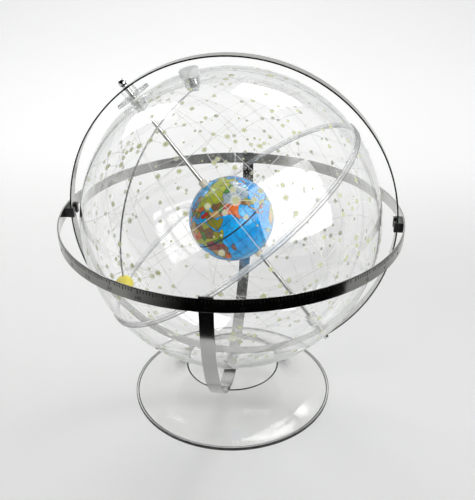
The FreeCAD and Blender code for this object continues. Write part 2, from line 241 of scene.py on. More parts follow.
@recipe
def steel(g, axis, low, high, outside=None, inside=None, edge_line=None, sheared=True):
    """Stainless strip, polished along its length: fine lines run around the ring whose axis is given.

    low and high bound the roughness. outside and inside give a face's radius and tone; the dark tone inside
    the cradle is painted shade. The edge setting says how far out along the axis painted shade darkens the
    rolled corners, and the sides setting paints shade on the cut sides.
    """
    parts = g.split(g.from_centre())
    around = [parts[i] for i in range(3) if i != axis]
    angle = g.math("ARCTAN2", around[0], around[1])
    lines = g.add("CombineXYZ", inputs={0: g.math("MULTIPLY", angle, 9.0), 1: parts[axis]})
    grain = g.noise(g.stretched(lines, (1.0, 6000.0, 1.0)), 1.0, 6.0, 0.7)
    smear = g.noise(g.place(), 24.0, 3.0)
    shade = g.mix(g.ramp(smear, 0.3, 0.7), STEEL, tuple(0.86 * c for c in STEEL))
    rough = g.math("ADD", g.ramp(grain, 0.3, 0.7, low, high), g.ramp(smear, 0.5, 0.75, 0.0, 0.05))
    radius = g.reach(around[0], around[1])
    # A face's tone; the dark tone inside the cradle is painted shade.
    for face, sign in ((outside, -1), (inside, 1)):
        if face:
            edge, tone = face
            plate = g.ramp(radius, edge + sign * 0.6 * MM, edge + sign * 0.2 * MM)
            warm = (tone, tone, 0.94 * tone)
            shade = g.mix(plate, shade, g.mix(grain, warm, tuple(1.3 * c for c in warm)))
            # Painted shade: the face turns dark near its rolled corners.
            if edge_line:
                corner = g.ramp(g.math("ABSOLUTE", parts[axis]), edge_line, edge_line + 0.25 * MM)
                shade = g.mix(g.math("MULTIPLY", plate, corner), shade, PAINTED_EDGE_SHADE)
    # Painted shade: the strip's cut sides are coloured dark.
    if sheared:
        facing = g.split(g.add("NewGeometry", "True Normal"))[axis]
        shade = g.mix(g.ramp(g.math("ABSOLUTE", facing), 0.45, 0.8), shade, PAINTED_EDGE_SHADE)
    normal = g.bump(grain, 0.00002, 0.35)
    return g.principled(Base_Color=shade, Metallic=1.0, Roughness=rough, Normal=normal)


@recipe
def chrome(g, colour, roughness):
    scratches = g.noise(g.stretched(g.place(), (2600.0, 300.0, 900.0)), 1.0, 3.0)
    normal = g.bump(scratches, 0.00001, 0.25)
    rough = finger_marks(g, roughness, roughness + 0.09)
    shade = g.mix(g.noise(g.place(), 90.0), colour, tuple(0.9 * c for c in colour))
    return g.principled(Base_Color=shade, Metallic=1.0, Roughness=rough, Normal=normal)


@recipe
def moulded(g, colour, roughness, grain=0.00004, glow=0.0):
    """Moulded plastic: a fine skin, a little colour drift and lighter, worn high spots."""
    skin = g.noise(g.place(), 1500.0, 3.0)
    drift = g.noise(g.place(), 45.0, 3.0)
    wear = g.ramp(g.add("NewGeometry", "Pointiness"), 0.52, 0.6)
    base = g.mix(drift, colour, tuple(0.84 * c for c in colour))
    shade = g.mix(g.math("MULTIPLY", wear, 0.35), base, tuple(min(1.0, 1.25 * c + 0.03) for c in colour))
    rough = g.ramp(drift, 0.3, 0.7, roughness, roughness + 0.1)
    return g.principled(
        Base_Color=shade, Roughness=rough, Normal=g.bump(skin, grain, 0.5), Subsurface_Weight=glow,
        Subsurface_Radius=(0.004, 0.003, 0.002), Subsurface_Scale=1.0,
    )


@recipe
def frosted_white(g):
    """Milky moulded plastic that lets some light through."""
    skin = g.bump(g.noise(g.place(), 900.0), 0.00004, 0.5)
    cloud = g.mix(g.noise(g.place(), 60.0), (0.94, 0.94, 0.93), (0.84, 0.85, 0.85))
    body = g.principled(Base_Color=cloud, Roughness=finger_marks(g, 0.22, 0.4), Normal=skin)
    back = g.add("BsdfTranslucent", inputs={"Color": cloud, "Normal": skin})
    clear = g.add("BsdfTransparent", inputs={"Color": (0.94, 0.95, 0.95)})
    return g.blend(0.32, g.blend(0.45, body, back), clear)


@recipe
def felt(g):
    fibres = g.noise(g.stretched(g.place(), (1.0, 1.0, 2.5)), 2200.0, 6.0, 0.8)
    shade = g.mix(fibres, (0.02, 0.05, 0.03), (0.08, 0.14, 0.09))
    normal = g.bump(fibres, 0.0004, 0.8)
    return g.principled(Base_Color=shade, Roughness=0.95, Sheen_Weight=0.6, Normal=normal)


@recipe
def ink(g, colour, cover=1.0, backlit=0.0, shine=0.5):
    """Screen-printed ink: slightly uneven cover over the clear plastic."""
    speckle = g.noise(g.place(), 700.0, 3.0)
    shade = g.mix(speckle, colour, tuple(0.8 * c for c in colour))
    film = g.principled(Base_Color=shade, Roughness=g.ramp(speckle, 0.3, 0.7, 0.35, 0.55),
                        Specular_IOR_Level=shine, Normal=g.bump(speckle, 0.00002, 0.4))
    if backlit:
        film = g.blend(backlit, film, g.add("BsdfTranslucent", inputs={"Color": shade}))
    if cover < 1.0:
        gaps = g.ramp(speckle, 0.35, 0.65, 1.0 - cover, min(1.0, 1.15 - cover))
        film = g.blend(gaps, film, g.add("BsdfTransparent"))
    return film


@recipe
def sea(g):
    """Printed paper over the little globe: blue sea, darker in the deeps, with a faint dot screen."""
    deeps = g.noise(g.place(), 30.0, 6.0)
    screen = g.noise(g.place(), 2400.0, 1.0)
    water = g.mix(g.ramp(deeps, 0.38, 0.62), (0.0, 0.34, 0.86), (0.005, 0.48, 0.98))
    shade = g.mix(g.math("MULTIPLY", screen, 0.18), water, (0.06, 0.56, 0.98))
    return g.principled(Base_Color=shade, Roughness=finger_marks(g, 0.12, 0.26), Coat_Weight=0.6,
                        Normal=g.bump(screen, 0.00002, 0.3))


@recipe
def land(g):
    """Printed countries: the colour comes with the mesh, the paper's grain from nodes."""
    tint = g.add("Attribute", "Color", attribute_name="country")
    relief = g.noise(g.place(), 160.0, 6.0, 0.65)
    shade = g.mix(g.ramp(relief, 0.4, 0.75, 0.0, 0.35), tint, (0.30, 0.20, 0.10))
    return g.principled(Base_Color=shade, Roughness=finger_marks(g, 0.2, 0.35), Coat_Weight=0.5,
                        Normal=g.bump(relief, 0.00003, 0.3))


STEEL = (0.56, 0.56, 0.545)
# Painted shade for the steel's rolled corners and cut sides.
PAINTED_EDGE_SHADE = (0.02, 0.02, 0.02)
# Painted shade for the edges of the base's rim and the seam's south edge.
PAINTED_RIM_SHADE = (0.12, 0.11, 0.13)
AXIS_X, AXIS_Y, AXIS_Z = range(3)
FINISHES = {
    clear_plastic("clear_base", (0.98, 0.98, 0.975), (0.45, 0.45, 0.46), 0.008,
                  rim=base_rim, flow=base_flow, wave=0.5): ["base_shell"],
    clear_plastic("clear_sphere", (1.0, 1.0, 1.0), (0.95, 0.955, 0.955), 0.002, wave=0.2): [
        "north_hemisphere", "south_hemisphere"],
    clear_plastic("clear_seam", (0.97, 0.97, 0.975), (0.80, 0.80, 0.81), 0.09, 0.6,
                  rim=seam_edges, wave=0.3): ["equator_band"],
    clear_plastic("clear_fittings", (0.985, 0.985, 0.985), (0.78, 0.79, 0.80), 0.012, 0.3): [
        "north_spacer", "south_spacer", "hour_dial", "north_sleeve", "south_sleeve"],
    steel("horizon_steel", AXIS_Z, 0.07, 0.16, outside=(HORIZON_RADIUS, 0.21),
          edge_line=HORIZON_HIGH - CENTRE.z - 0.8 * MM, sheared=False): ["horizon_ring"],
    steel("meridian_steel", AXIS_Y, 0.10, 0.22, outside=(MERIDIAN_OUTER, 0.36),
          edge_line=MERIDIAN_EDGE - 1.0 * MM): ["meridian_ring"],
    # The cradle's inner face is darkened with painted shade.
    steel("cradle_steel", AXIS_X, 0.08, 0.18, inside=(CRADLE_INNER, 0.1)): ["cradle_band"],
    chrome("axle_steel", (0.56, 0.56, 0.55), 0.09): ["polar_axle"],
    chrome("wire_steel", (0.36, 0.36, 0.36), 0.18): ["sun_arm_wire"],
    chrome("bright_chrome", (0.80, 0.81, 0.82), 0.02): [
        "axle_knob", "axle_cap", "ecliptic_hub", "ecliptic_spindle"],
    chrome("zinc_plate", (0.62, 0.63, 0.66), 0.22): [
        "base_screw", "base_washer", "base_nut", "guide_rivets", "collar_screws"],
    moulded("pale_collar", (0.62, 0.56, 0.44), 0.3, glow=0.2): ["north_earth_collar", "south_earth_collar"],
    moulded("black_plastic", (0.006, 0.006, 0.007), 0.28): ["left_guide", "right_guide"],
    moulded("nylon", (0.72, 0.73, 0.70), 0.35, glow=0.15): [
        "ecliptic_bush", "north_bush", "south_bush", "north_washer", "south_washer"],
    moulded("yellow_sun", (0.82, 0.70, 0.0), 0.38, 0.00001): ["sun_ball"],
    felt("felt"): ["left_friction_pad", "right_friction_pad"],
    frosted_white("frosted_white"): ["ecliptic_knob"],
    sea("sea_print"): ["earth_north_half", "earth_south_half"],
}
for finish, names in FINISHES.items():
    for node_name in names:
        slots = nodes[node_name].data.materials
        slots.clear()
        slots.append(finish)


# ---- thin prints

ON_SKY = ("celestial_sphere", "clear_sphere")
ON_EARTH = ("earth", "printed_earth")


def new_piece(name, points, faces, material, body=None, slot=None):
    """A mesh object, which rides on a body or else is part of the studio."""
    mesh = bpy.data.meshes.new(name)
    mesh.from_pydata(points, [], faces)
    mesh.materials.append(material)
    piece = bpy.data.objects.new(name, mesh)
    bpy.context.scene.collection.objects.link(piece)
    if body:
        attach(piece, body)
    return piece


class Print:
    """Thin closed solids that lie on a surface: strips, dots and figures, gathered in one mesh."""

    def __init__(self, low=0.0, high=0.05):
        self.points = []
        self.faces = []
        self.low = low * MM
        self.high = high * MM

    def section(self, corners):
        start = len(self.points)
        self.points += corners
        return range(start, start + len(corners))

    def strip(self, spots, width, closed=False):
        """A strip through (point, normal) pairs."""
        half = width * MM / 2
        count = len(spots)
        rows = []
        for i, (point, normal) in enumerate(spots):
            ahead = spots[(i + 1) % count if closed else min(i + 1, count - 1)][0]
            behind = spots[i - 1 if closed or i else 0][0]
            side = normal.cross(ahead - behind).normalized() * half
            rows.append(self.section([
                point + side + normal * self.low, point + side + normal * self.high,
                point - side + normal * self.high, point - side + normal * self.low]))
        for i in range(count if closed else count - 1):
            here, there = rows[i], rows[(i + 1) % count]
            for k in range(4):
                self.faces.append((here[k], there[k], there[(k + 1) % 4], here[(k + 1) % 4]))
        if not closed:
            self.faces += [tuple(rows[0]), tuple(reversed(rows[-1]))]

    def dot(self, point, normal, radius, sides=14):
        across = normal.orthogonal().normalized()
        up = normal.cross(across)
        rim = [point + swing(across, up, math.tau * i / sides) * radius * MM for i in range(sides)]
        top = self.section([p + normal * self.high for p in rim])
        foot = self.section([p + normal * self.low for p in rim])
        self.faces += [tuple(top), tuple(reversed(foot))]
        for i in range(sides):
            k = (i + 1) % sides
            self.faces.append((foot[i], foot[k], top[k], top[i]))

    def figure(self, text, height, place):
        """Figures such as 120; place(x, y, z) bends a flat point in millimetres onto the surface."""
        curve = bpy.data.curves.new("figure", "FONT")
        curve.body = text
        curve.size = height / 0.7
        curve.align_x = "CENTER"
        curve.resolution_u = 2
        curve.extrude = 0.5
        letter = bpy.data.objects.new("figure", curve)
        flat = bpy.data.meshes.new_from_object(letter)
        start = len(self.points)
        span = self.high - self.low
        for vertex in flat.vertices:
            x, y, z = vertex.co
            self.points.append(place(x, y, self.low + span * (z + 0.5)))
        for face in flat.polygons:
            self.faces.append(tuple(start + i for i in face.vertices))
        bpy.data.objects.remove(letter)
        bpy.data.curves.remove(curve)

    def finish(self, name, material, body, slot):
        new_piece(name, self.points, self.faces, material, body, slot).data.validate()


def numbers(text):
    """Tuples of numbers from text such as 3,5 4,7."""
    return [tuple(map(float, entry.split(","))) for entry in text.split()]


def outlines(text):
    return [numbers(outline) for outline in text.split(";")]


def graded(index, steps, lengths):
    """The length that goes with the first step that divides index, or else the last length."""
    return next((length for step, length in zip(steps, lengths) if index % step == 0), lengths[-1])


def swing(first, second, angle):
    """The direction at an angle from first towards second."""
    return first * math.cos(angle) + second * math.sin(angle)


def toward(azimuth_deg, elevation_deg=0):
    """A direction from the globe; azimuth 0 is the front and grows to the right."""
    azimuth, elevation = math.radians(azimuth_deg), math.radians(elevation_deg)
    flat = math.cos(elevation)
    return Vector((math.sin(azimuth) * flat, -math.cos(azimuth) * flat, math.sin(elevation)))


def on_ball(direction):
    return CENTRE + direction * SKY_RADIUS, direction


def circle_about(axis, start, side, height_deg, count):
    """Spots on the sphere at a set angle above the plane square to an axis."""
    height = math.radians(height_deg)
    return [on_ball(swing(swing(start, side, math.tau * i / count), axis, height)) for i in range(count)]


def sky(hours, degrees):
    """The direction of a place in the sky."""
    return swing(swing(EQUINOX, SOLSTICE, math.radians(hours * 15.0)), NORTH, math.radians(degrees))


def arc(first, last, step_deg=3.0):
    """Spots along the great circle between two directions."""
    count = max(2, math.ceil(math.degrees(first.angle(last)) / step_deg) + 1)
    return [on_ball(first.slerp(last, i / (count - 1))) for i in range(count)]


# ---- the star map

# Bright stars as hours,degrees,magnitude, and after the colon the chains of stars that lines join.
FIGURES = """
11.06,61.8,1.8 11.03,56.4,2.4 11.9,53.7,2.4 12.26,57,3.3 12.9,56,1.8 13.4,54.9,2.2 13.79,49.3,1.9: 01230
3456;
2.53,89,2 17.54,86.6,4.3 16.77,82,4.2 15.73,77.8,4.3 14.85,74.2,2.1 15.35,71.8,3 16.29,75.8,4.9: 01234563;
0.15,59.1,2.3 0.68,56.5,2.2 0.95,60.7,2.4 1.43,60.2,2.7 1.9,63.7,3.4: 01234;
21.31,62.6,2.5 21.48,70.6,3.2 23.66,77.6,3.2 22.83,66.2,3.5 22.18,58.2,3.4: 012340 13;
17.51,52.3,2.8 17.94,51.5,2.2 19.21,67.7,3.1 17.15,65.7,3.2 16.4,61.5,2.7 15.42,59,3.3 14.07,64.4,3.7:
0123456;
20.69,45.3,1.2 20.37,40.3,2.2 19.51,28,3.1 19.75,45.1,2.9 20.77,34,2.5: 012 13 14;
18.62,38.8,0 18.83,33.4,3.5 18.98,32.7,3.2 18.91,36.9,4.2: 03123;
19.85,8.9,0.8 19.77,10.6,2.7 19.92,6.4,3.7 19.09,13.9,3 19.1,-4.9,3.4 20.19,-0.8,3.2: 102 13 24 25;
16.69,31.6,2.8 16.72,38.9,3.5 17.25,36.8,3.2 17,30.9,3.9 16.5,21.5,2.8 17.25,24.8,3.1 17.24,14.4,3.4: 012304
35 46;
14.26,19.2,0 14.75,27.1,2.4 15.26,33.3,3.5 15.03,40.4,3.5 14.53,38.3,3 14.69,13.7,3.8 13.91,18.4,2.7:
0123405 06;
15.58,26.7,2.2 15.46,29.1,3.7 15.71,26.3,3.8 15.96,26.9,4.2: 1023;
10.14,12,1.4 10.12,16.8,3.5 10.33,19.8,2 10.28,23.4,3.4 9.76,23.8,3 11.24,20.5,2.6 11.82,14.6,2.1
11.24,15.4,3.3: 01234 25670;
13.42,-11.2,1 12.69,-1.4,2.7 13.04,11,2.8 11.84,1.8,3.6 12.33,-0.7,3.9 13.58,-0.6,3.4 14.03,1.5,4.3: 012 143
156;
14.85,-16,2.7 15.28,-9.4,2.6 15.59,-14.8,3.9 15.07,-25.3,3.3: 012 03 02;
16.49,-26.4,1 16,-22.6,2.3 16.09,-19.8,2.6 15.98,-26.1,2.9 16.84,-34.3,2.3 16.9,-42.4,3.6 17.62,-43,1.9
17.56,-37.1,1.6: 012 03 04567;
18.4,-34.4,1.9 18.35,-29.8,2.7 19.04,-29.9,2.6 18.92,-26.3,2 18.47,-25.4,2.8 18.76,-27,3.2: 0123514 02;
20.3,-12.5,3.6 20.35,-14.8,3.1 21.78,-16.1,2.9 21.1,-17.2,4.1 20.86,-26.9,4.1: 014230;
22.1,-0.3,3 21.53,-5.6,2.9 20.79,-9.5,3.8 22.48,0,3.7 22.88,-7.6,3.7 22.91,-15.8,3.3: 210345;
0.14,29.1,2.1 0.66,30.9,3.3 1.16,35.6,2.1 2.07,42.3,2.2: 0123;
23.06,28.1,2.4 23.08,15.2,2.5 0.22,15.2,2.8 21.74,9.9,2.4 22.69,10.8,3.4 0.14,29.1,2.1: 01250 143;
2.12,23.5,2 1.91,20.8,2.6 2.83,27.3,3.6: 102;
4.6,16.5,0.9 5.44,28.6,1.7 5.63,21.1,3 4.33,15.6,3.6 4.38,17.5,3.8 3.79,24.1,2.9: 02 0341 45;
5.28,46,0.1 5.99,44.9,1.9 5.99,37.2,2.6 5.44,28.6,1.7 4.95,33.2,2.7: 012340;
3.41,49.9,1.8 3.08,53.5,2.9 3.72,47.8,3 3.96,40,2.9 3.9,31.9,2.9 3.14,41,2.1: 01 0234 05;
5.92,7.4,0.5 5.42,6.3,1.6 5.53,-0.3,2.2 5.6,-1.2,1.7 5.68,-1.9,1.8 5.24,-8.2,0.1 5.8,-9.7,2.1 5.59,9.9,3.5:
012340 25 46 56 071;
6.75,-16.7,-1.4 6.38,-18,2 7.14,-26.4,1.8 6.98,-29,1.5 7.4,-29.3,2.5: 01 023 24;
7.58,31.9,1.6 7.76,28,1.1 7.34,22,3.5 6.63,16.4,1.9 6.73,25.1,3 6.38,22.5,2.9: 045 123 01;
7.66,5.2,0.4 7.45,8.3,2.9: 01;
9.46,-8.7,2 8.92,5.9,3.1 8.63,5.7,4.1 9.66,-1.1,3.9 10.18,-12.4,3.6 10.83,-16.2,3.1 13.32,-23.2,3: 2130456;
12.26,-17.5,2.6 12.5,-16.5,3 12.57,-23.4,2.7 12.17,-22.6,3: 01230;
12.44,-63.1,0.8 12.52,-57.1,1.6 12.8,-59.7,1.3 12.25,-58.7,2.8: 01 23;
14.66,-60.8,0 14.06,-60.4,0.6 13.66,-53.5,2.3 12.69,-49,2.2 14.11,-36.4,2.1 13.93,-47.3,2.5: 0123 254;
6.4,-52.7,-0.7 8.38,-59.5,1.9 9.22,-69.7,1.7 9.28,-59.3,2.2 10.72,-64.4,2.7: 01342;
8.16,-47.3,1.8 8.75,-54.7,2 9.37,-55,2.5 9.13,-43.4,2.2: 01230;
1.63,-57.2,0.5 2.94,-40.3,3.2 4.3,-33.8,3.6 3,-23.6,4.1 5.13,-5.1,2.8 3.72,-9.8,3.5: 012354;
22.96,-29.6,1.2 22.09,-33,4.3 22.53,-32.3,4.3: 021;
22.14,-47,1.7 22.71,-46.9,2.1 21.9,-37.4,3 22.81,-51.3,3.5: 01 02 13;
0.44,-42.3,2.4 1.1,-46.7,3.3 1.47,-43.3,3.4 0.16,-45.7,3.9: 01203;
0.73,-18,2 1.14,-10.2,3.4 1.73,-15.9,3.5 2.32,-3,3 3.04,4.1,2.5 0.32,-8.8,3.6: 05134 021;
16.81,-69,1.9 15.92,-63.4,2.8 15.32,-68.7,2.9: 0120;
20.43,-56.7,1.9 20.75,-66.2,3.4 18.39,-61.5,4.3: 012;
17.58,12.6,2.1 16.96,9.4,3.2 16.24,-3.7,2.7 17.17,-15.7,2.4 16.62,-10.6,2.6 17.72,4.6,2.8: 0124350
"""


def draw_stars():
    dots, halos, lines = Print(0.02, 0.06), Print(0.0, 0.03), Print(0.0, 0.03)
    seam_deg, faint_count, polar_sine = 1.6, 420, 0.985
    smallest, zero_size, shrink, halo_size, halo_limit = 0.8, 2.95, 0.44, 1.6, 4.2

    def star(direction, magnitude):
        lift = math.degrees(math.asin(direction.dot(NORTH)))
        if abs(lift) < seam_deg:
            return
        size = max(smallest, zero_size - shrink * magnitude)
        dots.dot(*on_ball(direction), size)
        if magnitude < halo_limit:
            halos.dot(*on_ball(direction), size * halo_size, sides=18)

    for figure in FIGURES.split(";"):
        text, chains = figure.split(":")
        stars = numbers(text)
        places = [sky(hours, degrees) for hours, degrees, _ in stars]
        for place, (_, _, magnitude) in zip(places, stars):
            star(place, magnitude)
        for chain in chains.split():
            for first, last in zip(chain, chain[1:]):
                lines.strip(arc(places[int(first)], places[int(last)]), 0.5)
    for _ in range(faint_count):
        star(sky(random.uniform(0, 24), math.degrees(math.asin(random.uniform(-polar_sine, polar_sine)))),
             random.choice((2.6, 3.2, 3.8, 4.3, 4.8)))
    dots.finish("printed_stars", ink("star_ink", (0.74, 0.75, 0.46), 0.92, 0.25), *ON_SKY)
    halos.finish("printed_star_halos", ink("halo_ink", (0.93, 0.94, 0.82), 0.4, 0.4), *ON_SKY)
    lines.finish("printed_constellation_lines", ink("line_ink", (0.88, 0.88, 0.86), 0.8, 0.15), *ON_SKY)


def draw_sky_grid():
    grid = Print(0.0, 0.05)
    turn_count = 180
    for degrees in (-60, -40, -20, 20, 40, 60):
        grid.strip(circle_about(NORTH, EQUINOX, SOLSTICE, degrees, turn_count), 0.42, closed=True)
    band_gap, pole_gap = 1.2, 4.5
    for hours in range(24):
        top = 90 - pole_gap if hours % 6 == 0 else 80
        for sign in (1, -1):
            grid.strip(arc(sky(hours, sign * band_gap), sky(hours, sign * top)), 0.42)
    grid.finish("printed_sky_grid", ink("grid_ink", (0.80, 0.80, 0.78), 0.95), *ON_SKY)


def draw_equator_scale():
    """Ticks every ten minutes and hour figures, just north of the seam."""
    scale = Print(0.0, 0.03)
    foot, figure_foot = 1.5, 2.8
    for tick in range(144):
        top = graded(tick, (6, 3), (2.5, 2.2, 1.95))
        scale.strip([on_ball(sky(tick / 6, foot)), on_ball(sky(tick / 6, top))], 0.2)

    for hours in range(24):
        def place(x, y, z):
            turn = hours + x * MM / SKY_RADIUS * 12 / math.pi
            height = figure_foot + math.degrees(y * MM / SKY_RADIUS)
            return CENTRE + sky(turn, height) * (SKY_RADIUS + z)

        scale.figure(str(hours), 2.0, place)
    scale.finish("printed_equator_scale", ink("scale_ink", (0.42, 0.43, 0.44), 0.8), *ON_SKY)


def draw_ecliptic():
    """The sun's path with a day scale, square to the ecliptic axis."""
    scale = Print(0.0, 0.03)
    half_band = 0.5
    for degrees in (-half_band, half_band):
        scale.strip(circle_about(ECLIPTIC_NORTH, EQUINOX, ECLIPTIC_SIDE, degrees, 240), 0.2, closed=True)
    for tick in range(180):
        flat = swing(EQUINOX, ECLIPTIC_SIDE, math.radians(2 * tick))
        top = graded(tick, (15, 5), (1.3, 1.0, 0.7)) + half_band
        scale.strip([on_ball(swing(flat, ECLIPTIC_NORTH, math.radians(height)))
                     for height in (half_band, top)], 0.22)
    scale.finish("printed_ecliptic_scale", ink("ecliptic_ink", (0.55, 0.56, 0.50), 0.8), *ON_SKY)


# ---- ring scales

def on_horizon(angle_deg, height):
    outward = toward(angle_deg)
    return Vector((CENTRE.x, CENTRE.y, height)) + outward * HORIZON_RADIUS, outward


def draw_horizon_scale():
    """Degree ticks hanging from the top edge of the horizon ring, with figures every ten."""
    scale = Print(-0.02, 0.01)
    edge, figure_foot = HORIZON_HIGH - 1.2 * MM, HORIZON_LOW + 2.6 * MM
    for degree in range(360):
        length = graded(degree, (10, 5), (4.0, 3.4, 2.6))
        top, outward = on_horizon(degree, edge)
        scale.strip([(top, outward), (top - Vector((0, 0, length * MM)), outward)], 0.9)

    for degree in range(0, 360, 10):
        def place(x, y, z):
            turn = degree + math.degrees(x * MM / HORIZON_RADIUS)
            point, outward = on_horizon(turn, figure_foot + y * MM)
            return point + outward * z

        scale.figure(str(degree), 3.3, place)
    etched = ink("etched_black", (0.008, 0.008, 0.008), shine=0.0)
    scale.finish("horizon_scale", etched, "stand", "polished_steel")


def draw_meridian_scale():
    """Declination ticks along both edges of the meridian ring's inner face, with figures every ten."""
    scale = Print(-0.02, 0.04)
    polar_side = NORTH.cross(Vector((0, 1, 0)))
    edge, figure_foot = MERIDIAN_EDGE - 0.5 * MM, -1.1 * MM

    def outward_at(degree):
        return swing(polar_side, NORTH, math.radians(degree))

    for degree in range(360):
        outward = outward_at(degree)
        base = CENTRE + outward * MERIDIAN_RADIUS
        length = graded(degree, (10, 5), (3.2, 2.5, 1.7))
        for side in (1, -1):
            start = base + Vector((0, side * edge, 0))
            end = start - Vector((0, side * length * MM, 0))
            scale.strip([(start, -outward), (end, -outward)], 0.45)
    for degree in range(0, 360, 10):
        def place(x, y, z):
            outward = outward_at(degree + math.degrees(x * MM / MERIDIAN_RADIUS))
            return CENTRE + outward * (MERIDIAN_RADIUS - z) + Vector((0, figure_foot + y * MM, 0))

        declination = abs((degree + 180) % 360 - 180)
        shown = min(declination, 180 - declination)
        if shown != 90:
            scale.figure(str(shown), 2.7, place)
    etched = ink("etched_grey", (0.04, 0.04, 0.04), shine=0.1)
    scale.finish("meridian_scale", etched, "meridian", "polished_steel")


def draw_hour_marks():
    """Hour lines and figures on the top of the dial around the north spacer."""
    marks = Print(0.0, 0.05)
    offsets = [vertex.co - CENTRE for vertex in nodes["hour_dial"].data.vertices]
    along = max(offset.dot(NORTH) for offset in offsets)
    reach = max((offset - offset.dot(NORTH) * NORTH).length for offset in offsets)
    inner = 9.5 * MM
    quarters = [math.tau * i / 96 for i in range(96)]

    def spot(angle, distance):
        return CENTRE + NORTH * along + swing(EQUINOX, SOLSTICE, angle) * distance, NORTH

    for i, angle in enumerate(quarters):
        length = graded(i, (4,), (2.6, 1.3))
        outer = reach - 1.0 * MM
        marks.strip([spot(angle, outer), spot(angle, outer - length * MM)], 0.22)
    for radius in (reach - 0.8 * MM, inner):
        marks.strip([spot(angle, radius) for angle in quarters], 0.22, closed=True)
    for hours in range(0, 24, 3):
        flat = swing(EQUINOX, SOLSTICE, math.tau * hours / 24)
        across = NORTH.cross(flat)

        def place(x, y, z):
            return CENTRE + NORTH * (along + z) + flat * (inner + (0.9 + y) * MM) - across * x * MM

        marks.figure(str(hours), 2.2, place)
    marks.finish("hour_dial_marks", ink("dial_ink", (0.05, 0.05, 0.05)), "hour_dial", "clear_fittings")


draw_stars()
draw_sky_grid()
draw_equator_scale()
draw_ecliptic()
draw_horizon_scale()
draw_meridian_scale()
draw_hour_marks()


# ---- the little Earth

